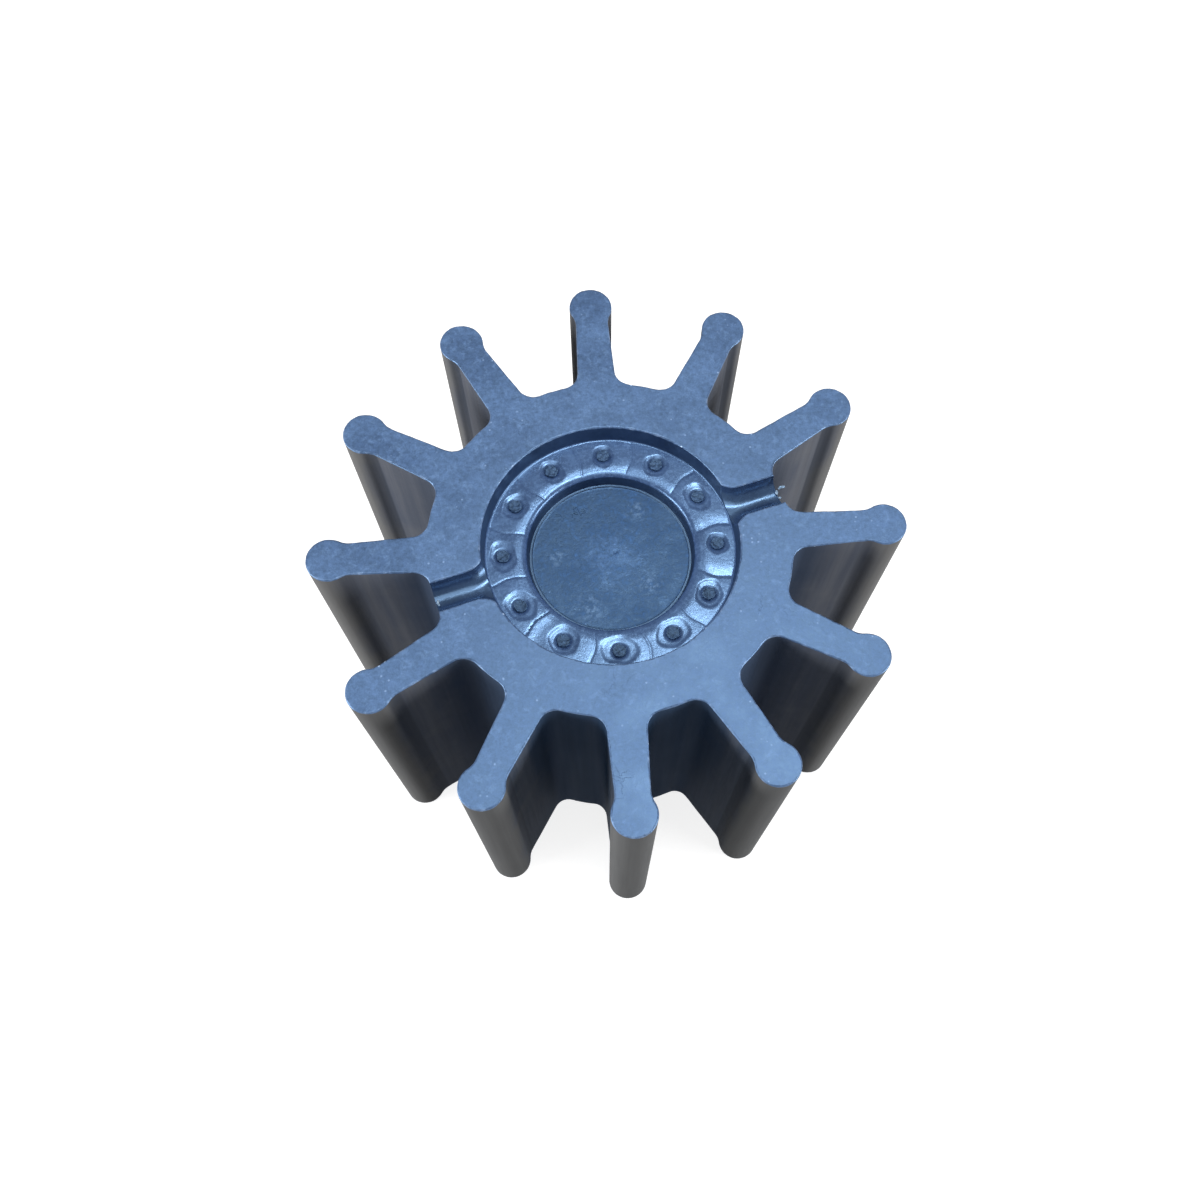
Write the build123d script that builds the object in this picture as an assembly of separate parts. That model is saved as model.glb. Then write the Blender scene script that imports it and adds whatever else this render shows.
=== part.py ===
from build123d import *
from math import hypot
import os

# Flexible-vane pump impeller: one rubber moulding (hub, straight vanes, closed end) bonded on a
# splined brass drive insert. Millimetres. The axis is Z, the open shaft end rests on Z = 0, the
# closed end is up, and one vane points along +Y.

# ---- Rubber rotor -------------------------------------------------------------------------
tip_d = 82.5             # circle round the vane tips
length = 50.8            # rotor length along the axis
vane_count = 12
hub_d = 50.2             # circle that the valleys between the vanes lie on
bulb_d = 6.2             # round bead along each vane tip
neck_t = 4.45            # vane thickness where it meets the bead
root_t = 5.5             # vane thickness where it meets the hub
neck_fillet = 3.1        # hollow between vane flank and bead
root_fillet = 2.4        # hollow between vane flank and hub

# ---- Closed end: round recess, gate ring, central pocket ---------------------------------------
recess_top_d = 35.7
recess_floor_d = 34.9
recess_depth = 2.75      # end face down to the gate ring
pocket_top_d = 23.8      # inner edge of the gate ring
pocket_floor_d = 22.6
pocket_depth = 2.25      # gate ring down to the pocket floor
ring_roll = 0.8          # radius on the inner edge of the gate ring

# ---- Gate marks on the ring, one in line with each vane ------------------------------------------
gate_pcd = 29.9
dish_d = 4.4
dish_depth = 0.45
stub_d = 2.0
stub_h = 0.55            # stub top above the bottom of its dish

# ---- Two cross grooves from the recess to opposite valleys --------------------------------------
groove_w = 4.3
groove_depth = 2.4
groove_round = 2.1       # radius along both foot corners: the groove is round at its foot
groove_flare = 3.0       # radius of the mouth where the groove enters the recess

# ---- Shaft end ----------------------------------------------------------------------------
mouth_d = 35.7           # rubber counterbore that shows the end of the insert
mouth_depth = 2.0
cover_t = 2.5            # rubber between the insert and the pocket floor

# ---- Drive insert: brass sleeve with a straight-sided internal spline ----------------------------
insert_od = 31.0
lock_groove_count = 1    # rings of rubber that key the sleeve in its moulding
lock_groove_w = 8.0
lock_groove_depth = 1.0
spline_count = 10
spline_major_d = 25.4
spline_minor_d = 21.84
spline_w = 3.96          # width of each spline slot
pilot_d = 26.4           # round lead-in ahead of the spline
pilot_depth = 4.0
insert_chamfer = 0.5

# ---- Worked out from the sizes above ----------------------------------------------------------
vane_pitch = 360 / vane_count
groove_angle = vane_pitch / 2                      # grooves run out in the middle of a valley
ring_z = length - recess_depth
pocket_z = ring_z - pocket_depth
insert_z0 = mouth_depth
insert_z1 = pocket_z - cover_t
insert_len = insert_z1 - insert_z0
ON_BASE = (Align.CENTER, Align.CENTER, Align.MIN)  # stands a turned form on its own base
CUT_OVERRUN = 2.0                                  # cutters run this far past the faces they open
DISH_OVERRUN = 0.05                                # the same for the shallow dishes


def axis_distance(vertex):
    """Distance of a point from the Z axis."""
    return hypot(vertex.X, vertex.Y)


def on_circle(sketch, radius):
    """The corners of a sketch that lie on a circle round the axis."""
    return [v for v in sketch.vertices() if abs(axis_distance(v) - radius) < 1e-3]


def vane_blade():
    """One vane along +X: a blade that thickens towards the hub, with its round bead."""
    bead_x = (tip_d - bulb_d) / 2
    slope = (root_t - neck_t) / 2 / (bead_x - hub_d / 2)
    buried_half = root_t / 2 + slope * hub_d / 4   # the flanks run on into the hub
    blade = Polygon(
        (hub_d / 4, -buried_half), (bead_x, -neck_t / 2),
        (bead_x, neck_t / 2), (hub_d / 4, buried_half), align=None,
    )
    vane = blade + Pos(bead_x, 0) * Circle(bulb_d / 2)
    necks = [v for v in vane.vertices() if abs(hypot(v.X - bead_x, v.Y) - bulb_d / 2) < 1e-3]
    return fillet(necks, neck_fillet)


def rotor_section():
    """Section of hub and vanes, the same over the whole length."""
    vanes = PolarLocations(0, vane_count) * vane_blade()
    section = Circle(hub_d / 2) + vanes
    return fillet(on_circle(section, hub_d / 2), root_fillet)


def closed_end_cutter():
    """Recess and pocket of the closed end as one turned form, with the rolled ring edge."""
    top = length + CUT_OVERRUN
    with BuildPart() as cutter:
        with BuildSketch(Plane.XZ):
            with BuildLine():
                Polyline(
                    (0, pocket_z), (pocket_floor_d / 2, pocket_z), (pocket_top_d / 2, ring_z),
                    (recess_floor_d / 2, ring_z), (recess_top_d / 2, length),
                    (recess_top_d / 2, top), (0, top), close=True,
                )
            make_face()
        revolve(axis=Axis.Z)
        inner_edge = cutter.edges().filter_by(GeomType.CIRCLE).filter_by(
            lambda e: abs(e.radius - pocket_top_d / 2) < 1e-3)
        fillet(inner_edge, ring_roll)
    return cutter.part


def groove_cutter():
    """Both cross grooves: a slot in plan, flared into the recess, with a rounded floor."""
    reach = hub_d / 2 + CUT_OVERRUN
    plan = Circle(recess_floor_d / 2) + Rectangle(2 * reach, groove_w)
    plan = fillet(on_circle(plan, recess_floor_d / 2), groove_flare)
    floor_z = length - groove_depth
    slot = extrude(Pos(0, 0, floor_z) * plan, groove_depth + CUT_OVERRUN)
    foot = [
        e for e in slot.edges()
        if abs(e.center().Z - floor_z) < 1e-3 and abs(e.center().X) < reach - 1e-3
    ]
    return Rot(0, 0, groove_angle) * fillet(foot, groove_round)


def gate_dish():
    """Cutter for one gate mark's dish, a shallow funnel down to its stub, ring face at z = 0."""
    slope = (dish_d - stub_d) / 2 / dish_depth
    rim_r = dish_d / 2 + slope * DISH_OVERRUN
    cut_h = dish_depth + DISH_OVERRUN
    return Pos(0, 0, DISH_OVERRUN - cut_h / 2) * Cone(stub_d / 2, rim_r, cut_h)


def gate_stub():
    """One torn-off runner stub, rooted below the bottom of its dish."""
    root_z = -2 * dish_depth
    stub_z = stub_h - dish_depth
    return Pos(0, 0, (root_z + stub_z) / 2) * Cylinder(stub_d / 2, stub_z - root_z)


def gate_places():
    """Where the gate marks lie on the ring face, in line with the vanes."""
    return [Pos(0, 0, ring_z) * place for place in PolarLocations(gate_pcd / 2, vane_count)]


def lock_groove_levels():
    """Heights of the insert's locking grooves, evenly spread over its length."""
    step = insert_len / (lock_groove_count + 1)
    return [insert_z0 + step * (i + 1) for i in range(lock_groove_count)]


def insert_blank():
    """Outer form of the insert with no bore: it also cuts the cavity in the rubber."""
    blank = Pos(0, 0, insert_z0) * Cylinder(insert_od / 2, insert_len, align=ON_BASE)
    ring = Cylinder(insert_od / 2 + 1, lock_groove_w) - Cylinder(
        insert_od / 2 - lock_groove_depth, lock_groove_w)
    for z in lock_groove_levels():
        blank -= Pos(0, 0, z) * ring
    return blank


def rubber_body():
    """The one-piece moulding: hub, vanes, closed end, gate marks, cavity for the insert."""
    body = extrude(rotor_section(), length)
    body -= closed_end_cutter()
    body -= groove_cutter()
    body -= [place * gate_dish() for place in gate_places()]
    body += [place * gate_stub() for place in gate_places()]
    body -= insert_blank()
    body -= Cylinder(mouth_d / 2, mouth_depth, align=ON_BASE)
    return body


def spline_bore():
    """Section of the internal spline: a round bore with straight-sided slots round it."""
    slot = Pos(spline_major_d / 4, 0) * Rectangle(spline_major_d / 2, spline_w)
    slots = Sketch() + PolarLocations(0, spline_count, start_angle=groove_angle) * slot
    return Circle(spline_minor_d / 2) + (slots & Circle(spline_major_d / 2))


def drive_insert():
    """Brass sleeve: splined bore, round pilot at its open end, chamfered mouth."""
    sleeve = insert_blank() - extrude(Pos(0, 0, insert_z0) * spline_bore(), insert_len)
    sleeve -= Pos(0, 0, insert_z0) * Cylinder(pilot_d / 2, pilot_depth, align=ON_BASE)
    mouth = [
        e for e in sleeve.edges().filter_by(GeomType.CIRCLE)
        if abs(e.center().Z - insert_z0) < 1e-3 and abs(e.radius - pilot_d / 2) < 1e-3
    ]
    return chamfer(mouth, insert_chamfer)


if __name__ == "__main__":
    os.makedirs("parts", exist_ok=True)
    quarter_turn = Rot(0, 0, 90 % vane_pitch)      # keeps a vane on +Y for any vane count
    for name, solid in (("rubber_body", rubber_body()), ("drive_insert", drive_insert())):
        placed = quarter_turn * solid
        export_step(placed, f"parts/{name}.step")
        print(name, round(placed.volume / 1000, 2), "cm3", placed.is_valid)
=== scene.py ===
# %% [markdown]
# # A rubber pump impeller, dressed for its looks
#
# The part is one rubber moulding, bonded over a splined brass insert. The solids come from the
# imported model, which is loaded first and stays a fixed frame: every new piece is made where the
# frame says, in metres. The insert keeps its solid and only gets a finish. The moulding is
# worked out again as a finer surface, because its looks sit in small things that a plain solid
# leaves out: trimmed edges, rolled lips, torn gate stubs and weld lines in the rubber.

import bpy
import numpy as np
from mathutils import Matrix, Vector


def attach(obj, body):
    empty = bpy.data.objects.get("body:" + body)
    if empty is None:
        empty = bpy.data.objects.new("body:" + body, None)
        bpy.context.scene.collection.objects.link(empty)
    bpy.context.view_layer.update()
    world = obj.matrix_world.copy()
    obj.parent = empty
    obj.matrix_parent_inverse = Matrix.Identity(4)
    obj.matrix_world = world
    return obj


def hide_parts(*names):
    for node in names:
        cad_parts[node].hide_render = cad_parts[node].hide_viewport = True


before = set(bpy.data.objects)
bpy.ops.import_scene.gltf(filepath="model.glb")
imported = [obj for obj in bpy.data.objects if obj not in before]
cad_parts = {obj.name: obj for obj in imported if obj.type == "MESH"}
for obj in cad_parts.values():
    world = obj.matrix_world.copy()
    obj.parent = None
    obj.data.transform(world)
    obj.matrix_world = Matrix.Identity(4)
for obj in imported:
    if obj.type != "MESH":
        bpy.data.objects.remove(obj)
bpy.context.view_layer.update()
MM = 0.001

# %% [markdown]
# ## Camera
#
# The viewer looks down on the closed end from the front, close enough for the far vanes to
# look smaller than the near ones. The camera's place is written as a direction from the middle
# of the closed end, a distance, and a small slide in its own picture plane. A small lens shift
# keeps the part where it stands in the frame.

# %% Place the camera
LENGTH = 50.8                       # height of the closed end over the floor
AZIMUTH, ELEVATION, ROLL = np.radians([-11.815, 71.404, 6.981])
DISTANCE, SLIDE_RIGHT, SLIDE_UP = 157.69, 5.807, -20.827


def camera_axes():
    """Right, up and back of the camera: back points from the part to the camera, right is level
    with the floor, and both right and up are then rolled about back."""
    back = np.array([np.sin(AZIMUTH) * np.cos(ELEVATION),
                     -np.cos(AZIMUTH) * np.cos(ELEVATION), np.sin(ELEVATION)])
    right = np.cross(-back, [0, 0, 1])
    right /= np.linalg.norm(right)
    up = np.cross(back, right)
    turned_right = np.cos(ROLL) * right + np.sin(ROLL) * up
    turned_up = -np.sin(ROLL) * right + np.cos(ROLL) * up
    return turned_right, turned_up, back


right, up, back = camera_axes()
eye = back * DISTANCE + right * SLIDE_RIGHT + up * SLIDE_UP + [0, 0, LENGTH]
lens = bpy.data.cameras.new("camera")
lens.sensor_width = 36
lens.lens = 34.59
lens.shift_x, lens.shift_y = -0.0445, 0.0781
lens.clip_start = 0.005
camera = bpy.data.objects.new("camera", lens)
bpy.context.collection.objects.link(camera)
pose = np.eye(4)
pose[:3, :4] = np.stack([right, up, back, eye * MM], axis=1)
camera.matrix_world = Matrix(pose.tolist())
bpy.context.scene.camera = camera
print("camera stands at, mm:", np.round(eye, 1))

# %% [markdown]
# ## One vane in outline
#
# Every vane is a blade that thickens towards the hub and ends in a round bead. Seen from the
# end it is made of arcs and one straight flank, each tangent to the next. The outline could be
# read off the solid's own mesh, but its points are uneven there. Working it out from the sizes
# gives evenly spaced columns that later surfaces can share.

# %% Outline of half a vane
TIP_R, HUB_R, BEAD_R = 41.25, 25.1, 3.1
NECK_T, ROOT_T = 4.45, 5.5
NECK_FILLET, ROOT_FILLET = 3.1, 2.4
PITCH = np.radians(30)


def arc(centre, radius, start, stop, count):
    """Points on a circle: centre + radius · (cos a, sin a), a going the short way from start to
    stop in equal steps."""
    turn = (stop - start + np.pi) % (2 * np.pi) - np.pi
    a = start + np.linspace(0, turn, count)
    return np.asarray(centre) + radius * np.stack([np.cos(a), np.sin(a)], axis=1)


def heading(v):
    """Angle of a vector in the plane."""
    return np.arctan2(v[1], v[0])


def slide_to(start, along, centre, reach, side):
    """Slides a point back along a flank until it is `reach` from a centre: one root, chosen by
    side, of the quadratic |start - q·along - centre| = reach."""
    d = start - centre
    q = d @ along + side * np.sqrt((d @ along) ** 2 - d @ d + reach ** 2)
    return start - q * along


def half_vane():
    """Upper half of a vane along +X, from its tip to the middle of the valley beside it."""
    bead = np.array([TIP_R - BEAD_R, 0.0])
    slope = (ROOT_T - NECK_T) / 2 / (bead[0] - HUB_R)
    out = np.array([slope, 1.0]) / np.hypot(slope, 1)
    along = np.array([out[1], -out[0]])
    shoulder = np.array([bead[0], NECK_T / 2])
    neck = slide_to(shoulder + NECK_FILLET * out, along, bead, BEAD_R + NECK_FILLET, 1)
    root = slide_to(shoulder + ROOT_FILLET * out, along, np.zeros(2), HUB_R + ROOT_FILLET, -1)
    flank_end, flank_start = neck - NECK_FILLET * out, root - ROOT_FILLET * out
    pieces = [
        arc(bead, BEAD_R, 0, heading(neck - bead), 17),
        arc(neck, NECK_FILLET, heading(bead - neck), heading(-out), 8),
        flank_end + np.linspace(0, 1, 12)[:, None] * (flank_start - flank_end),
        arc(root, ROOT_FILLET, heading(-out), heading(-root), 8),
        arc((0, 0), HUB_R, heading(root), PITCH / 2, 4),
    ]
    return np.concatenate([pieces[0]] + [p[1:] for p in pieces[1:]])


half = half_vane()
print("half a vane:", len(half), "points, tip at", half[0].round(2), "valley at", half[-1].round(2))

# %% [markdown]
# ## The closed end in numbers
#
# The closed end has a round recess with a drafted wall, a gate ring at its foot, a pocket
# inside the ring, and two cross grooves from the recess to opposite valleys. A groove has a
# rounded foot and a flared mouth. Cutting these out of a finished mesh would leave ragged
# triangles along every edge. Here the surfaces are planned so that they meet column by column,
# and the mesh closes by itself when equal points are merged.

# %% Sizes of the closed end
RECESS_TOP_R, RECESS_FOOT_R, RING_Z = 17.85, 17.45, 48.05
POCKET_Z = 45.8
GROOVE_AXIS = np.radians(15)
GROOVE_HALF, GROOVE_Z, GROOVE_ROUND, FLARE_R = 2.15, 48.4, 2.1, 3.0
WALL_Z = GROOVE_Z + GROOVE_ROUND      # here a groove's rounded foot turns into its upright wall
TRIM_R = 0.22                         # rounding along every edge of the two end faces
FOOT_R, FOOT_RISE = 17.44, 0.13       # where the rounded corner at the foot of the recess ends
FLARE_HUB = RECESS_FOOT_R + FLARE_R   # distance from the axis to the centre of a flare
FLARE_X = np.sqrt(FLARE_HUB ** 2 - (GROOVE_HALF + FLARE_R) ** 2)
FLARE_AT = np.array([FLARE_X, GROOVE_HALF + FLARE_R])


def wall_radius(z):
    """Radius of the recess wall at a height: straight between its foot and its top."""
    return RECESS_FOOT_R + (RECESS_TOP_R - RECESS_FOOT_R) * (z - RING_Z) / (LENGTH - RING_Z)


def mouth_angle(r):
    """Half the angle that a groove takes up at a radius. In the straight part its sine is half
    the width over the radius; in the flare it follows from the triangle of axis, flare centre
    and wall point (law of cosines)."""
    straight = np.arcsin(np.clip(GROOVE_HALF / r, 0, 1))
    cosine = (r ** 2 + FLARE_HUB ** 2 - FLARE_R ** 2) / (2 * r * FLARE_HUB)
    flare = heading(FLARE_AT) - np.arccos(np.clip(cosine, -1, 1))
    return np.where(r * np.cos(straight) > FLARE_X, straight, flare)


def groove_height(r, angle):
    """Height of the groove's surface: its floor, plus a quarter-round that rises by the foot
    radius over the last stretch before the wall."""
    x, y = r * np.cos(angle), np.abs(r * np.sin(angle))
    to_flare = np.hypot(x - FLARE_AT[0], y - FLARE_AT[1]) - FLARE_R
    to_wall = np.where(x > FLARE_X, GROOVE_HALF - y, to_flare)
    rest = GROOVE_ROUND - np.clip(to_wall, 0, GROOVE_ROUND)
    return GROOVE_Z + GROOVE_ROUND - np.sqrt(GROOVE_ROUND ** 2 - rest ** 2)


# The outline near a valley, as radius over angle from the valley's middle.
valley_angle = PITCH / 2 - np.arctan2(half[-15:, 1], half[-15:, 0])[::-1]
valley_radius = np.hypot(half[-15:, 0], half[-15:, 1])[::-1]
side_shift = valley_radius * np.sin(valley_angle)
END_ANGLE = np.interp(GROOVE_HALF, side_shift, valley_angle)
END_R = GROOVE_HALF / np.sin(END_ANGLE)
print("a groove leaves the hub at r", round(float(END_R), 2), "and +-",
      round(float(np.degrees(END_ANGLE)), 2), "degrees")

# %% [markdown]
# ## Collecting the surfaces
#
# A small collector takes each surface as a grid of points and remembers which finish its faces
# have. At the end it rounds all points to a tenth of a micrometre, merges the equal ones and
# drops faces that have lost all their area. That is how the pole of a disc and the seams between
# grids are closed.

# %% Collector for the moulding's surfaces
class Moulding:
    """Gathers grids and flat faces, then welds them into one closed mesh."""

    def __init__(self):
        self.points, self.quads, self.flats = [], [], []
        self.count = 0

    def _keep(self, points):
        first = self.count
        self.points.append(np.asarray(points, float).reshape(-1, 3))
        self.count += len(self.points[-1])
        return first

    def grid(self, points, finish, closed=False):
        """A grid of shape (rows, columns, 3). The outside is where row direction × column
        direction points. A closed grid joins its last column to its first."""
        rows, cols = points.shape[:2]
        ids = self._keep(points) + np.arange(rows * cols).reshape(rows, cols)
        if closed:
            ids = np.concatenate([ids, ids[:, :1]], axis=1)
        a, b, c, d = ids[:-1, :-1], ids[1:, :-1], ids[1:, 1:], ids[:-1, 1:]
        faces = np.stack([a, b, c, d], axis=-1).reshape(-1, 4)
        self.quads.append((faces, finish))

    def flat(self, loop, finish):
        """One flat face with any number of corners, counter-clockwise seen from outside."""
        ids = self._keep(loop) + np.arange(len(loop))
        self.flats.append((ids, finish))

    def weld(self, name, finishes):
        """Builds the object: merges equal points, and turns four-corner faces that have lost a
        corner into triangles."""
        points = np.concatenate(self.points)
        _, first, same = np.unique(np.round(points, 4), axis=0, return_index=True,
                                   return_inverse=True)
        same = same.reshape(-1)
        faces, finish_of, smooth = [], [], []
        for quads, finish in self.quads:
            q = same[quads]
            lost = q == np.roll(q, -1, axis=1)
            whole, three = q[lost.sum(1) == 0], q[lost.sum(1) == 1]
            keep = ~lost[lost.sum(1) == 1]
            tri = three[keep].reshape(-1, 3)
            faces += whole.tolist() + tri.tolist()
            finish_of += [finish] * (len(whole) + len(tri))
            smooth += [True] * (len(whole) + len(tri))
        for loop, finish in self.flats:
            faces.append(same[loop].tolist())
            finish_of.append(finish)
            smooth.append(False)
        mesh = bpy.data.meshes.new(name)
        mesh.from_pydata((points[first] * MM).tolist(), [], faces)
        for material in finishes:
            mesh.materials.append(material)
        mesh.polygons.foreach_set("material_index", finish_of)
        mesh.set_sharp_from_angle(angle=np.radians(38))
        mesh.polygons.foreach_set("use_smooth", smooth)
        mesh.update()
        piece = bpy.data.objects.new(name, mesh)
        bpy.context.collection.objects.link(piece)
        return piece


END_FACE, EDGE, FLANK, RING, RECESS, POCKET, STUB, GROOVE, TORN = range(9)
moulding = Moulding()


def turn(points, angle):
    """Turns points about the Z axis."""
    c, s = np.cos(angle), np.sin(angle)
    turned = np.array(points, float)
    turned[..., 0], turned[..., 1] = (c * points[..., 0] - s * points[..., 1],
                                      s * points[..., 0] + c * points[..., 1])
    return turned


def at_height(plan, z):
    """Lifts plan points to a height, which may differ from point to point."""
    z = np.broadcast_to(np.asarray(z, float), plan.shape[:-1])
    return np.concatenate([plan, z[..., None]], axis=-1)


def polar(r, angle):
    """Plan points from radius and angle."""
    r, angle = np.broadcast_arrays(r, angle)
    return np.stack([r * np.cos(angle), r * np.sin(angle)], axis=-1)


# %% [markdown]
# ## Columns round the hub
#
# Going round the recess, 41 columns cross the mouth of each groove and 290 steps span the rest
# on each side. The same columns run on through the gate ring and the pocket, so these surfaces
# need no stitching.

# %% Columns, and rows along a groove
ACROSS = np.linspace(-1, 1, 41)             # from one wall of a groove to the other
GAP_STEPS = 290
FLARE_END = 19.9                            # the rows stand closer up to this radius
mouth_wall_r = wall_radius(WALL_Z)
MOUTH_ANGLE = float(mouth_angle(mouth_wall_r))
wall_rows = np.concatenate([np.linspace(mouth_wall_r, FLARE_END, 12),
                            np.linspace(FLARE_END, END_R, 12)[1:]])
ROW_SHARE = (wall_rows - mouth_wall_r) / (END_R - mouth_wall_r)

gap = np.linspace(MOUTH_ANGLE, np.pi - MOUTH_ANGLE, GAP_STEPS + 1)
half_turn = np.concatenate([ACROSS * MOUTH_ANGLE, gap[1:-1]])
columns = np.concatenate([half_turn, half_turn + np.pi]) + GROOVE_AXIS
print(len(columns), "columns,", len(ROW_SHARE), "rows along a groove")

# %% Groove floors
mouth_r = np.full(len(ACROSS), mouth_wall_r)
for _ in range(30):                         # where the rounded foot meets the recess wall
    mouth_z = groove_height(mouth_r, ACROSS * MOUTH_ANGLE)
    mouth_r = (mouth_r + wall_radius(mouth_z)) / 2
end_r = np.interp(np.abs(ACROSS) * END_ANGLE, valley_angle, valley_radius)
mouth_r[[0, -1]], end_r[[0, -1]] = mouth_wall_r, END_R
row_wall_r = mouth_wall_r + (END_R - mouth_wall_r) * ROW_SHARE
groove_r = mouth_r + (end_r - mouth_r) * ROW_SHARE[:, None]
groove_angle = ACROSS * mouth_angle(row_wall_r)[:, None]
groove_z = groove_height(groove_r, groove_angle)
mouth_z[[0, -1]] = WALL_Z
groove_z[:, [0, -1]] = WALL_Z
groove_z[0] = mouth_z
groove_plan = polar(groove_r, groove_angle + GROOVE_AXIS)
groove = at_height(groove_plan, groove_z)
for side in (0, np.pi):
    moulding.grid(turn(groove, side), GROOVE)
print("groove floor at", round(float(groove_z.min()), 2), "mm, its ends meet the outline at r",
      end_r.min().round(2), "to", end_r.max().round(2))

# %% [markdown]
# ## Edges of the closed end
#
# Each half of the closed end is one flat face between the two grooves. Its border runs along
# six vanes, in along one groove, round the recess and out along the other groove. The border
# is pushed inwards step by step on a quarter circle, which makes the trimmed edge that catches
# a thin line of light. A real trimmed edge isn't even, so the radius wanders.

# %% Border of one half of the closed end
chance = np.random.default_rng(12)
vane = np.concatenate([(half * [1, -1])[::-1], half[1:]])
sectors = [turn(vane, PITCH * k)[(1 if k > 1 else 0):] for k in range(1, 7)]
outline = np.concatenate(sectors)
from_axis = outline @ [-np.sin(GROOVE_AXIS), np.cos(GROOVE_AXIS)]
HUB_SIDE_R, CORNER_ROOM = 27, 0.32    # outline points this near a groove give way to its corner
near_groove = (np.hypot(*outline.T) < HUB_SIDE_R) & (np.abs(from_axis) < GROOVE_HALF + CORNER_ROOM)
corners = polar(END_R, GROOVE_AXIS + np.array([END_ANGLE, np.pi - END_ANGLE]))
outline = np.concatenate([corners[:1], outline[~near_groove], corners[1:]])


def border(z):
    """Closed border of one half at a height: outline, groove wall, recess wall, groove wall."""
    foot_r = wall_radius(z)
    rows_r = foot_r + (END_R - foot_r) * ROW_SHARE
    walls = mouth_angle(rows_r)
    inwards = polar(rows_r, GROOVE_AXIS + np.pi - walls)[::-1]
    outwards = polar(rows_r, GROOVE_AXIS + walls)
    rim = np.linspace(np.pi - walls[0], walls[0], GAP_STEPS + 1)
    return np.concatenate([outline, inwards[1:], polar(foot_r, GROOVE_AXIS + rim)[1:-1],
                           outwards[:-1]])


def inward(loop):
    """How far and which way each point of a closed loop moves when every side moves in by one:
    the sum of the two side normals over one plus their product."""
    side = np.roll(loop, -1, axis=0) - loop
    side /= np.linalg.norm(side, axis=1)[:, None]
    normal = np.stack([-side[:, 1], side[:, 0]], axis=1)
    before = np.roll(normal, 1, axis=0)
    return (before + normal) / (1 + (before * normal).sum(1))[:, None]


def wander(loop, strength):
    """An uneven factor along a closed loop: a few sine waves of its running length, from 0.9 to
    9 mm long, with seeded phases."""
    step = np.linalg.norm(np.roll(loop, -1, axis=0) - loop, axis=1)
    run = np.concatenate([[0], np.cumsum(step)[:-1]])
    total = step.sum()
    waves = np.round(total / np.array([9.0, 5.1, 2.9, 1.7, 0.9]))
    phase = chance.uniform(0, 2 * np.pi, len(waves))
    return 1 + strength * np.sin(2 * np.pi * waves * run[:, None] / total + phase).mean(1) * 2


top_edge = border(LENGTH - TRIM_R)
push = inward(top_edge)
steps = np.radians([0, 30, 60, 90])
n_out = len(outline)
for side in (0, np.pi):
    trim = np.minimum(TRIM_R * wander(top_edge, 0.3), LENGTH - WALL_Z - 0.02)
    rows = [at_height(border(WALL_Z), WALL_Z)]
    for s in steps:
        rows.append(at_height(top_edge + push * (trim * (1 - np.cos(s)))[:, None],
                              LENGTH - trim * (1 - np.sin(s))))
    rows = turn(np.array(rows), side)
    wall = np.r_[np.arange(n_out - 1, len(top_edge)), 0]
    moulding.grid(rows[:2, :n_out][::-1], FLANK)
    moulding.grid(rows[:2, wall][::-1], RECESS)
    moulding.grid(rows[1:][::-1], EDGE, closed=True)
    moulding.flat(rows[-1], END_FACE)
print("one half's border has", len(top_edge), "points")

# %% [markdown]
# ## Vane flanks and the shaft end
#
# The flanks are the outline carried straight down. The shaft end has the same outline, a round
# mouth, and behind it the cavity that the brass insert fills. Its edges are trimmed like those
# of the closed end.

# %% Outer wall down to the shaft end
end_in = polar(end_r, GROOVE_AXIS + ACROSS * END_ANGLE)[1:-1]
ring_out = np.concatenate([outline, turn(end_in, np.pi), turn(outline, np.pi), end_in])
wall_top = np.concatenate([np.full(n_out, WALL_Z), groove_z[-1, 1:-1]] * 2)
share = np.array([1, 0.97, 0.9, 0.8, 0.66, 0.5, 0.34, 0.2, 0.08, 0.02])
flank = [at_height(ring_out, TRIM_R + (wall_top - TRIM_R) * s) for s in share]
push_out = inward(ring_out)
trim = TRIM_R * wander(ring_out, 0.3)
under = [at_height(ring_out + push_out * (trim * (1 - np.cos(s)))[:, None],
                   trim * (1 - np.sin(s))) for s in steps]
moulding.grid(np.array(flank + under[:1]), FLANK, closed=True)
moulding.grid(np.array(under), EDGE, closed=True)

# %% Mouth, cavity and the flat shaft end
MOUTH_R, MOUTH_DEPTH, INSERT_R, INSERT_TOP = 17.85, 2.0, 15.5, 43.3
LOCK_Z, LOCK_R = (18.65, 26.65), 14.5


def turned(profile, angles, finish):
    """Carries a profile of (radius, height) pairs round the axis."""
    profile = np.asarray(profile, float)
    plan = polar(profile[:, :1], angles[None, :])
    moulding.grid(at_height(plan, profile[:, 1:]), finish, closed=True)


mouth_columns = GROOVE_AXIS + np.linspace(0, 2 * np.pi, 181)[:-1]
lip = [(MOUTH_R + TRIM_R * (1 - np.sin(s)), TRIM_R * (1 - np.cos(s))) for s in steps]
turned(lip, mouth_columns, EDGE)
turned([lip[-1], (MOUTH_R, 1.2), (MOUTH_R, MOUTH_DEPTH), (INSERT_R, MOUTH_DEPTH),
        (INSERT_R, LOCK_Z[0]), (LOCK_R, LOCK_Z[0]), (LOCK_R, LOCK_Z[1]), (INSERT_R, LOCK_Z[1]),
        (INSERT_R, INSERT_TOP), (0, INSERT_TOP)], mouth_columns, FLANK)
outer = np.roll(under[-1], -(len(under[-1]) - len(ACROSS) // 2), axis=0)
span, in_span = len(outer) // 2, len(mouth_columns) // 2
inner = at_height(polar(lip[0][0], mouth_columns), 0)
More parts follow.
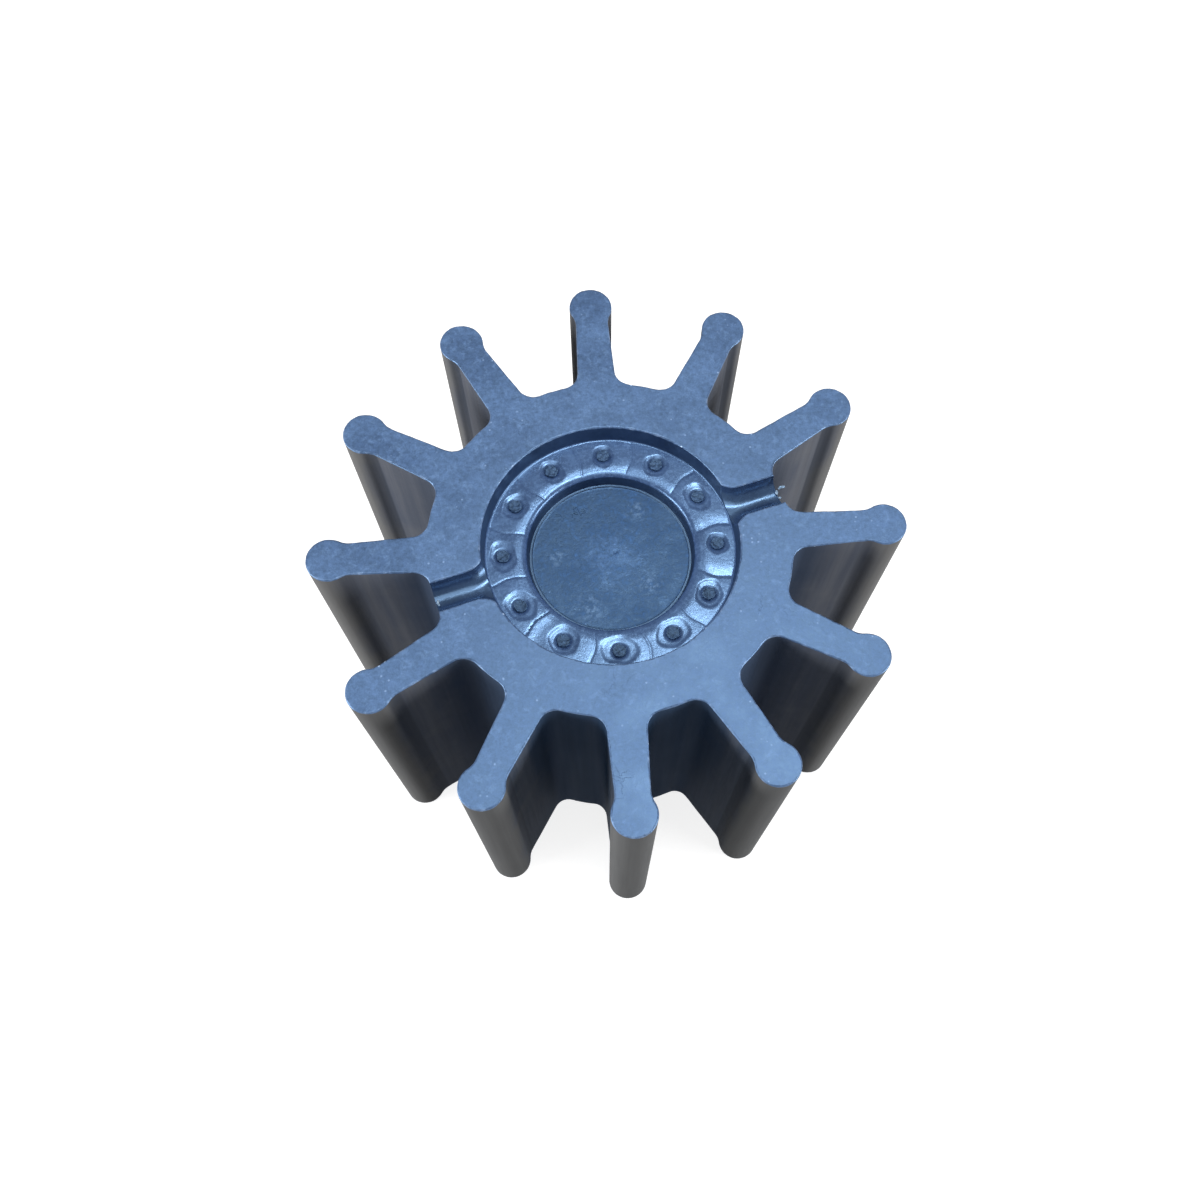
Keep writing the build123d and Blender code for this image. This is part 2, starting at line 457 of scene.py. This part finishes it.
for k in (0, 1):
    out_half = np.roll(outer, -k * span, axis=0)[:span + 1]
    in_half = np.roll(inner, -k * in_span, axis=0)[:in_span + 1]
    moulding.flat(np.concatenate([out_half, in_half[::-1]])[::-1], END_FACE)
print("outer wall has", len(ring_out), "columns")

# %% [markdown]
# ## Gate ring
#
# The rubber was pressed in through twelve small gates, in line with the vanes. Each gate left
# a dish with a torn stub. Between two gates the flows met in a weld line, and the rubber stands
# a little proud between two such lines, like a pillow. All of this is a height over a flat
# ring, so it is written as a function of radius and angle.

# %% Relief of the gate ring
GATE_R, STUB_R, DISH_DEPTH = 14.95, 0.93, 0.45
# One row a gate, counter-clockwise from the one at 90 degrees: how far it leans from its even
# place, in degrees, and the reach of its dish outwards, inwards and sideways, in mm.
DISH_ROWS = [(0, 1.52, 1.90, 1.55), (0, 1.62, 2.10, 1.75), (-1, 1.75, 1.90, 2.00),
             (-0.5, 1.90, 1.90, 2.40), (0, 1.90, 2.20, 2.45), (0, 1.90, 2.25, 2.30),
             (0, 1.90, 2.30, 2.75), (0, 2.05, 2.25, 2.50), (0, 2.00, 1.90, 2.20),
             (0, 1.55, 1.50, 1.70), (0, 1.60, 2.10, 2.20), (0, 1.58, 2.00, 1.75)]
GATES = [((60 + 30 * k) % 360 + 30 + lean, *reach) for k, (lean, *reach) in enumerate(DISH_ROWS)]
WELDS = np.array([10, 43, 75, 104, 136, 165, 193.8, 222.5, 256.3, 285, 314, 341.3])
SHOULDERS = np.array([-0.06, 0, 0, 0, 0, 0, 0.03, 0.11, 0, 0, 0, -0.08])   # height after a line


def turned_by(degrees, angle):
    """Angle from a direction, between -180 and 180 degrees."""
    return (degrees - angle + 180) % 360 - 180


def pillow_and_welds(r, degrees):
    """Between two weld lines the height falls off with the cube of the way from their middle,
    and a narrow notch runs along each line. The lines bend slightly with the radius, and a
    few have a raised or a sunk shoulder. Towards the pocket the ring sags."""
    bent = degrees + 0.9 * np.sin((r - 12) * 1.15 + 2.0 * np.sin(np.radians(degrees * 3)))
    lines = np.concatenate([WELDS - 360, WELDS, WELDS + 360])
    place = np.interp(bent, lines, np.arange(len(lines)))
    off_middle = np.abs(2 * (place % 1) - 1)
    notch = np.exp(-((1 - off_middle) * 3.9 / 0.11) ** 2)
    sag = np.clip(13.8 - r, 0, 1.1) ** 2
    after = np.zeros(np.broadcast(r, degrees).shape)
    for angle, height in zip(WELDS, SHOULDERS):
        way = np.radians(turned_by(bent, angle)) * r
        after += height * np.exp(-(way / 1.1) ** 2) * np.clip(way / 0.15, 0, 1)
    return 0.02 - 0.05 * off_middle ** 3 - 0.04 * notch - 0.06 * sag + after


def dishes(r, degrees):
    """Depth of the twelve dishes. Their edge distance blends the reach outwards, inwards and
    sideways with the direction; the depth falls from the stub to the edge, where a faint lip
    stands up."""
    depth = np.zeros(np.broadcast(r, degrees).shape)
    for angle, out_reach, in_reach, side_reach in GATES:
        swing = np.radians(turned_by(degrees, angle))
        dx, dy = r * np.cos(swing) - GATE_R, r * np.sin(swing)
        away = np.hypot(dx, dy) + 1e-9
        c2 = (dx / away) ** 2
        edge = np.where(dx > 0, out_reach, in_reach) * c2 + side_reach * (1 - c2)
        way = np.arctan2(dy, dx)
        edge = edge * (1 + 0.05 * np.sin(2 * way + angle) + 0.035 * np.sin(5 * way + 2 * angle))
        t = np.clip((away - STUB_R) / (edge - STUB_R), 0, 2)
        pit = np.exp(-(np.clip(away - STUB_R, 0, None) / 0.21) ** 2)
        rim = 1 / (1 + np.exp((t - 0.84) / 0.065))
        depth -= DISH_DEPTH * (0.34 * pit + 0.13 * np.clip(1 - t, 0, 1) + 0.19 * rim)
    return depth


def ring_relief(r, degrees):
    """Relief of the ring, faded out at the recess wall and on the way down into the pocket."""
    fade = np.clip((r - 11.75) / 0.7, 0, 1) * np.clip((RECESS_FOOT_R - 0.05 - r) / 0.15, 0, 1)
    return fade * (pillow_and_welds(r, degrees) + dishes(r, degrees))


# %% Pocket, gate ring and recess wall
DIMPLE_AT, DIMPLE_DEPTH, DIMPLE_WIDTH = 0.7, 0.12, 0.22     # small mark near the pocket's middle
roll = np.radians(np.linspace(75, 0, 9))
roll_r = 12.7 - 0.994 * np.sin(roll)
roll_z = RING_Z - 0.8 * (1 - np.cos(roll))
floor_r = np.concatenate([[0, 0.12, 0.3, 0.5, 0.7, 0.9, 1.1, 1.3, 1.6, 2, 2.6, 3.3],
                          np.linspace(4.1, 10.7, 10)])
ledge = [(10.92, POCKET_Z), (11.0, POCKET_Z + 0.02), (11.05, POCKET_Z + 0.1),
         (11.08, POCKET_Z + 0.14), (11.26, POCKET_Z + 0.14), (11.35, POCKET_Z + 0.146),
         (11.39, POCKET_Z + 0.3), (11.56, POCKET_Z + 1.0)]
flat_r = np.linspace(12.7, 17.22, 37)[1:]
foot = [(17.32, RING_Z + 0.02), (17.39, RING_Z + 0.06), (FOOT_R, RING_Z + FOOT_RISE)]
profile = ([(r, POCKET_Z) for r in floor_r] + ledge + list(zip(roll_r, roll_z))
           + [(r, RING_Z) for r in flat_r] + foot)
profile = np.array(profile)
inner_r = np.repeat(profile[:, :1], len(columns), axis=1)
heights = profile[:, 1:] + ring_relief(inner_r, np.degrees(columns)[None, :] % 360)
from_dimple = np.hypot(inner_r * np.cos(columns) - DIMPLE_AT, inner_r * np.sin(columns) - DIMPLE_AT)
heights = heights - DIMPLE_DEPTH * np.exp(-(from_dimple / DIMPLE_WIDTH) ** 2)
surface = at_height(polar(inner_r, columns[None, :]), heights)
n_floor = len(floor_r) + 2
n_wall = n_floor + len(ledge) - 2
moulding.grid(surface[:n_floor], POCKET, closed=True)
moulding.grid(surface[n_floor - 1:n_wall + 1], RECESS, closed=True)
moulding.grid(surface[n_wall:], RING, closed=True)
in_mouth = np.tile(np.arange(len(half_turn)) < len(ACROSS), 2)
mid_z, mid_r = np.full(len(columns), WALL_Z), np.full(len(columns), mouth_wall_r)
mid_z[in_mouth], mid_r[in_mouth] = np.tile(mouth_z, 2), np.tile(mouth_r, 2)
rise = np.array([0, 0.15, 0.5, 1.0])[:, None]
low_z = RING_Z + FOOT_RISE
wall_z = low_z + (mid_z - low_z) * rise
wall_r = FOOT_R + (mid_r - FOOT_R) * rise
moulding.grid(at_height(polar(wall_r, columns[None, :]), wall_z), RECESS, closed=True)
print("gate ring relief, mm:", heights[n_wall:].min().round(2), "to", heights.max().round(2))

# %% [markdown]
# ## Torn stubs
#
# When the gates were pulled off, each left a short stub with a rough, torn top. A stub is a
# closed surface of its own: rows go up its side and in over its top, and seeded sine waves make
# the side ragged and the top uneven. Its root is sunk into the ring, as one piece of rubber.

# %% Twelve torn stubs
stub_rows = np.array([(0.0, -0.95), (0.8, -0.95), (1.0, -0.8), (0.98, -0.5), (0.95, -0.38),
                      (0.94, -0.25), (0.93, -0.1), (0.92, 0.02), (0.88, 0.08), (0.8, 0.1),
                      (0.66, 0.06), (0.48, 0.04), (0.27, 0.06), (0.0, 0.05)])
around = np.linspace(0, 2 * np.pi, 41)[:-1]
for angle, *_ in GATES:
    base_r, base_z = stub_rows[:, :1], stub_rows[:, 1:]
    phase = chance.uniform(0, 2 * np.pi, 8)
    ragged = (0.035 * np.sin(5 * around + phase[0] + 6 * base_z)
              + 0.025 * np.sin(11 * around + phase[1] - 9 * base_z)
              + 0.015 * np.sin(17 * around + phase[2]))
    plan_r = base_r * (1 + ragged)
    u, v = plan_r * np.cos(around), plan_r * np.sin(around)
    torn = (0.06 * np.sin(3.1 * u + phase[3]) * np.sin(2.7 * v + phase[4])
            + 0.035 * np.sin(7.3 * u + 5.1 * v + phase[5])
            + 0.025 * np.sin(9.7 * v - 6.3 * u + phase[6]))
    z = RING_Z + base_z + torn * (base_z > -0.2)
    stub = at_height(np.stack([u + GATE_R, v], axis=-1), z)
    moulding.grid(turn(stub, np.radians(angle)), STUB, closed=True)
print("stub rows:", len(stub_rows), "x", len(around))

# %% Torn bits at the groove ends
# Place in mm, then half length along x, y and z: flash that was torn off, not cut.
TORN_BITS = [(24.72, 7.15, 49.9, 0.36, 0.16, 0.14), (24.35, 7.05, 49.7, 0.16, 0.14, 0.12),
             (24.10, 6.95, 48.75, 0.17, 0.34, 0.16), (24.45, 6.10, 48.75, 0.17, 0.14, 0.13),
             (-23.95, -6.38, 48.7, 0.16, 0.28, 0.15), (-23.80, -6.85, 48.9, 0.12, 0.15, 0.12)]
polar_angle = np.linspace(0, np.pi, 9)[:, None]
for x, y, z, *half_size in TORN_BITS:
    ball = np.stack([np.sin(polar_angle) * np.cos(around), np.sin(polar_angle) * np.sin(around),
                     -np.cos(polar_angle) + 0 * around], axis=-1)
    phase = chance.uniform(0, 2 * np.pi, 3)
    bx, by, bz = np.moveaxis(ball, -1, 0)
    lumps = 1 + 0.22 * (np.sin(4.1 * bx + phase[0]) * np.sin(5.3 * by + phase[1])
                        + np.sin(6.2 * bz + 3 * bx + phase[2]))
    bit = ball * lumps[..., None] * half_size + [x, y, z]
    moulding.grid(bit, TORN, closed=True)
print("torn bits:", len(TORN_BITS))

# %% [markdown]
# ## Writing shader sums as plain expressions
#
# A finish is a small sum of noise, masks and colours. Wiring it by hand hides the sum, so a
# socket is wrapped in a class whose operators add the Math nodes. Any other node comes from
# one method.

# %% Socket arithmetic
class Sock:
    """One output socket of a finish. Arithmetic on it adds Math nodes."""

    def __init__(self, finish, socket):
        self.finish, self.socket = finish, socket

    def _math(self, operation, *values):
        return self.finish.node("ShaderNodeMath", {"operation": operation},
                                dict(enumerate(values)))

    def __add__(self, other): return self._math("ADD", self, other)
    def __radd__(self, other): return self._math("ADD", other, self)
    def __sub__(self, other): return self._math("SUBTRACT", self, other)
    def __rsub__(self, other): return self._math("SUBTRACT", other, self)
    def __abs__(self): return self._math("ABSOLUTE", self)
    def __mul__(self, other): return self._math("MULTIPLY", self, other)
    def __rmul__(self, other): return self._math("MULTIPLY", other, self)
    def __pow__(self, other): return self._math("POWER", self, other)


def srgb(r, g, b):
    """A colour given as 0-255 screen values, as the linear values that a shader takes."""
    c = np.array([r, g, b]) / 255
    linear = np.where(c <= 0.04045, c / 12.92, ((c + 0.055) / 1.055) ** 2.4)
    return (*linear.tolist(), 1.0)


class Finish:
    """A material with one Principled shader and helpers for the nodes in front of it."""

    def __init__(self, name, **constants):
        self.material = bpy.data.materials.new(name)
        self.material.use_nodes = True
        self.tree = self.material.node_tree
        self.shader = self.tree.nodes["Principled BSDF"]
        for socket, value in constants.items():
            self.shader.inputs[socket.replace("_", " ")].default_value = value
        self.where = self.node("ShaderNodeTexCoord", out="Object")

    def node(self, kind, settings=None, inputs=None, out=0):
        """Adds a node: its settings first, then values or links for its inputs."""
        made = self.tree.nodes.new(kind)
        for key, value in (settings or {}).items():
            setattr(made, key, value)
        for key, value in (inputs or {}).items():
            if isinstance(value, Sock):
                self.tree.links.new(value.socket, made.inputs[key])
            else:
                made.inputs[key].default_value = value
        return Sock(self, made.outputs[out])

    def noise(self, scale, detail=3.0, rough=0.5, where=None, warp=0.0):
        """Noise from 0 to 1, with its scale in features per metre."""
        return self.node("ShaderNodeTexNoise", {"noise_dimensions": "3D"},
                         {"Vector": where or self.where, "Scale": scale, "Detail": detail,
                          "Roughness": rough, "Distortion": warp})

    def between(self, value, low, high):
        """Smooth step: 0 below low, 1 above high."""
        return self.node("ShaderNodeMapRange", {"interpolation_type": "SMOOTHSTEP"},
                         {"Value": value, "From Min": low, "From Max": high})

    def mix(self, factor, first, second, blend="MIX"):
        """Mixes two colours."""
        return self.node("ShaderNodeMix", {"data_type": "RGBA", "blend_type": blend},
                         {0: factor, 6: first, 7: second}, out=2)

    def stretched(self, x, y, z):
        """Object coordinates scaled along each axis."""
        return self.node("ShaderNodeMapping", None, {"Vector": self.where, "Scale": (x, y, z)})

    def along(self, axis):
        """One of the object coordinates, in metres."""
        return self.node("ShaderNodeSeparateXYZ", None, {"Vector": self.where}, out=axis)

    def distance_from_axis(self):
        """Distance of the shaded point from the part's axis, in metres."""
        x, y = self.along("X"), self.along("Y")
        return (x * x + y * y) ** 0.5

    def feed(self, socket, value):
        """Links a value to a socket of the shader."""
        self.tree.links.new(value.socket, self.shader.inputs[socket])

    def bump(self, height, strength, distance):
        """Tilts the surface by a height map; distance is its depth in metres."""
        self.feed("Normal", self.node("ShaderNodeBump", None, {
            "Height": height, "Strength": strength, "Distance": distance}))


# %% [markdown]
# ## Finishes of the rubber
#
# The rubber is black, but a wax bloom has come out on its flat ends and gives them a matt,
# mottled blue-grey. The flanks have less of it and are a dull grey; painted shade makes them dark
# and bluish deep between the vanes and in front of the axis, and painted light makes the beads
# paler. The gate ring was pressed against polished steel and shines more. The torn stubs show raw
# dark rubber, with painted shade at their feet and painted light on the far tops. The trimmed
# edges are paler, partly from wear and partly as a painted highlight. The upright walls of the
# recess, pocket and grooves are painted dark for their shade, and the pocket's lighter middle is a
# painted reflection.

# %% Bloom on the end faces
SHEEN = {"IOR": 1.75, "Specular_IOR_Level": 1.0, "Specular_Tint": (0.37, 0.63, 1, 1)}


def bloomed(name, dark, mid, light, roughness, grain=2.3, patch=0.55, speck=0.5, depth=0.00005,
            painted_middle_light=None, scuffs=(), uneven=0.1, **extra):
    """Bloomed rubber: slow clouds and small blotches mix three tones, a fine grain multiplies
    them, faint creases darken them, and scattered specks are lighter. A middle colour paints a
    reflection: it lightens a round spot on the axis. Scuffs, given as x, y and reach in mm, are
    rubbed paler."""
    f = Finish(name, **{**SHEEN, **extra})
    slow = f.noise(170, 5, 0.6)
    blotch = f.noise(650, 4, 0.62, warp=0.6)
    fine = f.noise(1900, 4, 0.75)
    cloud = f.between(slow, 0.36, 0.66)
    tone = f.mix(cloud, srgb(*dark), srgb(*mid))
    if painted_middle_light:
        reflection_spot = f.distance_from_axis() + 0.010 * (blotch - 0.5)
        tone = f.mix(1 - f.between(reflection_spot, 0.0005, 0.0055), tone, srgb(*painted_middle_light))
    tone = f.mix(f.between(blotch, 0.5, 0.7) * patch, tone, srgb(*light))
    tone = f.mix(1.0, tone, 1 + grain * (fine - 0.5), blend="MULTIPLY")
    for x, y, reach in scuffs:
        away = f.node("ShaderNodeVectorMath", {"operation": "DISTANCE"},
                      {0: f.where, 1: (x * MM, y * MM, POCKET_Z * MM)}, out="Value")
        rub = f.between(f.noise(1500, 4, 0.7), 0.47, 0.66) * (1 - f.between(away, 0.0, reach * MM))
        tone = f.mix(rub * 0.7, tone, srgb(112, 138, 172))
    crease = 1 - f.between(abs(f.noise(120, 4, 0.6, warp=0.5) - 0.5), 0.002, 0.010)
    crease = crease * f.between(f.noise(90, 1, 0.5), 0.56, 0.66)
    tone = f.mix(crease * 0.16, tone, srgb(*[c * 0.6 for c in dark]))
    cells = f.node("ShaderNodeTexVoronoi", {"feature": "F1"},
                   {"Vector": f.where, "Scale": 800.0, "Randomness": 1.0}, out="Distance")
    some = f.between(f.noise(240, 2, 0.5), 0.50, 0.60)
    dots = (1 - f.between(cells, 0.06, 0.16)) * some * speck
    f.feed("Base Color", f.mix(dots, tone, srgb(*[min(255, c + 60) for c in light])))
    f.feed("Roughness", roughness + 0.25 * (fine - 0.5) + 0.10 * (cloud - 0.5)
           + uneven * (blotch - 0.5))
    f.bump(fine * 0.5 + blotch * 0.5 + dots * 0.5 - crease * 0.4, 0.6, depth)
    return f.material


end_face = bloomed("end_face_bloom", (62, 83, 120), (76, 100, 139), (98, 125, 166), 0.49)
# The trimmed edges are paler, partly from wear and partly as a painted highlight along each edge.
edge_wear_and_highlight = bloomed("edge_wear_and_highlight", (66, 86, 120), (84, 108, 146), (140, 164, 200), 0.38,
                       speck=1.0)
# Painted shade: the upright walls of the recess, the pocket and the grooves get a dark tone for the
# shade they stand in.
recess_wall_shade = bloomed("recess_wall_painted_shade", (22, 34, 56), (30, 44, 68), (46, 64, 92), 0.38,
                 speck=0.1, grain=0.8, patch=0.3, depth=0.000012)
# The pocket's lighter middle colour is a painted reflection; its scuffs are wear.
pocket = bloomed("pocket_floor_bloom", (13, 31, 62), (20, 44, 80), (44, 74, 117), 0.5,
                 grain=5.0, patch=0.9, painted_middle_light=(50, 74, 113), depth=0.00010, uneven=0.5,
                 Specular_Tint=(0.31, 0.58, 1, 1),
                 scuffs=[(-3.75, -7.55, 3.4), (5.25, -4.5, 3.0), (-7.6, 0.5, 2.2), (4.0, 7.2, 2.4)])
torn_white = bloomed("torn_flash", (110, 135, 160), (148, 172, 196), (196, 210, 222), 0.3,
                     speck=0.1, grain=0.6)
groove_gloss = bloomed("groove_rubber", (36, 52, 80), (44, 62, 92), (58, 80, 112), 0.25,
                       speck=0.1, grain=0.8, patch=0.3, depth=0.000012)


# %% Flanks, gate ring and stubs
def flank_finish():
    """Dark, dull grey with faint streaks that run along the vanes and paler patches. The rest is
    painted light and shade: the flanks are painted dark and bluish near the hub between the
    vanes, with a dark band in the hollow at each neck, paler on the beads, and paler beside and
    behind the axis than in front of it."""
    f = Finish("flank_rubber", Specular_IOR_Level=0.02)
    streaks = f.noise(1.0, 4, 0.6, where=f.stretched(420, 420, 26))
    patches = f.noise(110, 3, 0.55)
    y = f.along("Y")
    # Painted light and shade: flanks beside and behind the axis are painted paler than those in
    # front.
    painted_side_light = f.between(y + 0.004 * (patches - 0.5), -0.030, -0.014)
    shaded_front_tone = f.mix(f.between(streaks, 0.3, 0.72), srgb(60, 72, 91), srgb(92, 100, 114))
    lit_side_tone = f.mix(f.between(streaks, 0.3, 0.72), srgb(92, 98, 111), srgb(110, 113, 121))
    tone = f.mix(painted_side_light, shaded_front_tone, lit_side_tone)
    tone = f.mix(f.between(patches, 0.45, 0.75) * 0.4, tone, srgb(118, 120, 124))
    r = f.distance_from_axis()
    from_axis = r + 0.004 * (patches - 0.5)
    # Painted shade: near the hub, deep between the vanes, the flanks are painted dark and bluish,
    # darkest in front.
    hub_shade_front_to_back = f.mix(f.between(y, -0.004, 0.012), srgb(61, 73, 93), srgb(80, 87, 101))
    hub_painted_shade = f.mix(painted_side_light, srgb(51, 73, 101), hub_shade_front_to_back)
    # Painted light: the beads are painted paler than the flanks, palest beside the axis.
    bead_painted_light = f.mix(painted_side_light, srgb(105, 106, 107), srgb(120, 120, 120))
    tone = f.mix(1 - f.between(from_axis, 0.0255, 0.033), tone, hub_painted_shade)
    tone = f.mix(f.between(from_axis, 0.0355, 0.039), tone, bead_painted_light)
    # Painted shade: a dark band in the hollow at each neck, weaker at the sides.
    neck = f.between(r, 0.0348, 0.0353) * (1 - f.between(r, 0.0366, 0.0376))
    at_sides = f.between(y, -0.024, -0.012) * (1 - f.between(y, 0.004, 0.014))
    tone = f.mix(neck * (0.5 - 0.35 * at_sides), tone, srgb(36, 42, 52))
    streak_shade = 1 + 0.4 * (f.noise(1.0, 3, 0.6, where=f.stretched(900, 900, 22)) - 0.5)
    tone = f.mix(1.0, tone, streak_shade, blend="MULTIPLY")
    f.feed("Base Color", tone)
    f.feed("Roughness", 0.62 + 0.18 * (streaks - 0.5) + 0.12 * (patches - 0.5))
    f.bump(streaks * 0.7 + f.noise(1900, 3, 0.6) * 0.3, 0.35, 0.00003)
    return f.material


def ring_finish():
    """Polished rubber with a thin bloom: a soft sheen over slow clouds and fine specks."""
    f = Finish("gate_ring_rubber", **{**SHEEN, "IOR": 1.8})
    cloud = f.noise(420, 5, 0.66, warp=0.3)
    fine = f.noise(2000, 3, 0.65)
    tone = f.mix(f.between(cloud, 0.35, 0.7), srgb(52, 73, 113), srgb(68, 93, 136))
    tone = f.mix(f.between(fine, 0.48, 0.72) * 0.45, tone, srgb(100, 128, 172))
    f.feed("Base Color", tone)
    f.feed("Roughness", 0.275 + 0.14 * (cloud - 0.5) + 0.14 * (fine - 0.5))
    f.bump(cloud * 0.35 + fine * 0.4, 1.0, 0.00004)
    return f.material


def stub_finish():
    """Raw torn rubber: dark, rough and grainy. Painted shade makes the foot of each stub
    near-black, and painted light makes the tops on the far side of the ring paler.
    """
    f = Finish("torn_rubber", **SHEEN)
    grain = f.noise(2200, 4, 0.7)
    # Painted shade: the foot of each stub, down in its pit, is painted near-black.
    uneven_z = f.along("Z") + 0.0002 * (grain - 0.5)
    high = f.between(uneven_z, (RING_Z - 0.12) * MM, (RING_Z + 0.02) * MM)
    # Painted light: stub tops on the far side of the ring are painted paler than near ones.
    far_painted_light = f.between(f.along("Y"), -0.008, 0.006)
    near_shaded_top = f.mix(f.between(grain, 0.42, 0.62), srgb(24, 37, 60), srgb(50, 72, 105))
    far_lit_top = f.mix(f.between(grain, 0.42, 0.62), srgb(30, 45, 71), srgb(56, 78, 113))
    top_tone = f.mix(far_painted_light, near_shaded_top, far_lit_top)
    f.feed("Base Color", f.mix(high, srgb(9, 15, 28), top_tone))
    f.feed("Roughness", 0.5 + 0.2 * (grain - 0.5))
    f.bump(grain, 0.8, 0.0002)
    return f.material


finishes = [end_face, edge_wear_and_highlight, flank_finish(), ring_finish(), recess_wall_shade, pocket,
            stub_finish(), groove_gloss, torn_white]
print("finishes:", [m.name for m in finishes])

# %% Weld the moulding
rubber = moulding.weld("rubber_moulding", finishes)
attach(rubber, "root")
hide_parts("rubber_body")
print("moulding:", len(rubber.data.vertices), "points,", len(rubber.data.polygons), "faces")

# %% [markdown]
# ## Brass insert
#
# The insert keeps its solid, with its splines and pilot. Turned brass that was sand-blasted for
# bonding is dull, with fine turning marks and darker tarnish all over.

# %% Brass finish
def brass_finish():
    """Dull yellow metal with fine turning marks round the axis and darker tarnish."""
    f = Finish("insert_brass", Metallic=1.0)
    lines = f.noise(1.0, 3, 0.6, where=f.stretched(40, 40, 2600))
    tarnish = f.noise(150, 4, 0.6)
    tone = f.mix(f.between(tarnish, 0.4, 0.7), srgb(181, 146, 84), srgb(140, 108, 62))
    f.feed("Base Color", tone)
    f.feed("Roughness", 0.34 + 0.2 * (tarnish - 0.4) + 0.1 * (lines - 0.5))
    f.bump(lines, 0.25, 0.00002)
    return f.material


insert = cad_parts["drive_insert"]
brass = brass_finish()
if insert.data.materials:
    for i in range(len(insert.data.materials)):
        insert.data.materials[i] = brass
else:
    insert.data.materials.append(brass)

# %% [markdown]
# ## Floor and light
#
# The floor is white to the camera and to mirrors, but keeps some of the shadow. The light is a
# plain studio: an even pale world, a wide lamp and a small one high overhead, which give the
# gate ring its highlights, and two low lamps at the left and the right for the flanks.

# %% Floor
def floor_finish():
    """White floor that is diffuse for lighting, and mostly pure white where it is seen."""
    f = Finish("studio_floor", Roughness=0.9)
    path = f.node("ShaderNodeLightPath", out="Is Camera Ray")
    f.feed("Base Color", f.mix(path, (0.04, 0.04, 0.04, 1), (0.5, 0.5, 0.5, 1)))
    glossy = f.node("ShaderNodeLightPath", out="Is Glossy Ray")
    through = f.node("ShaderNodeLightPath", out="Is Transmission Ray")
    seen = path + glossy + through
    f.feed("Emission Color", f.mix(seen, (0, 0, 0, 1), (1, 1, 1, 1)))
    f.shader.inputs["Emission Strength"].default_value = 0.78
    return f.material


FLOOR_HALF, FLOOR_POINTS = 1.5, 9
side = np.linspace(-1, 1, FLOOR_POINTS) * FLOOR_HALF
gx, gy = np.meshgrid(side, side, indexing="ij")
mesh = bpy.data.meshes.new("studio_floor")
ids = np.arange(FLOOR_POINTS ** 2).reshape(FLOOR_POINTS, FLOOR_POINTS)
quads = np.stack([ids[:-1, :-1], ids[1:, :-1], ids[1:, 1:], ids[:-1, 1:]], -1).reshape(-1, 4)
mesh.from_pydata(np.stack([gx, gy, 0 * gx], -1).reshape(-1, 3).tolist(), [], quads.tolist())
mesh.materials.append(floor_finish())
floor = bpy.data.objects.new("studio_floor", mesh)
bpy.context.collection.objects.link(floor)


# %% Lamps and world
LAMP_AIM = Vector((0, 0, 0.045))


def lamp(name, place, size, power):
    """A square, white area lamp that faces a point high up on the part's axis."""
    data = bpy.data.lights.new(name, "AREA")
    data.shape, data.size, data.energy = "SQUARE", size, power
    thing = bpy.data.objects.new(name, data)
    thing.location = place
    thing.rotation_euler = (LAMP_AIM - Vector(place)).to_track_quat("-Z", "Y").to_euler()
    bpy.context.collection.objects.link(thing)


lamp("front_lamp", (-0.04, -0.10, 0.60), 0.28, 0.62)
lamp("top_lamp", (0.08, 0.10, 0.60), 0.14, 1.20)
lamp("left_lamp", (-0.50, -0.12, 0.12), 0.30, 2.8)
lamp("right_lamp", (0.48, -0.20, 0.16), 0.30, 2.3)
world = bpy.data.worlds.new("studio")
bpy.context.scene.world = world
world.use_nodes = True
world.node_tree.nodes["Background"].inputs["Color"].default_value = (1, 1, 1, 1)
world.node_tree.nodes["Background"].inputs["Strength"].default_value = 0.30
bpy.context.scene.view_settings.view_transform = "Standard"
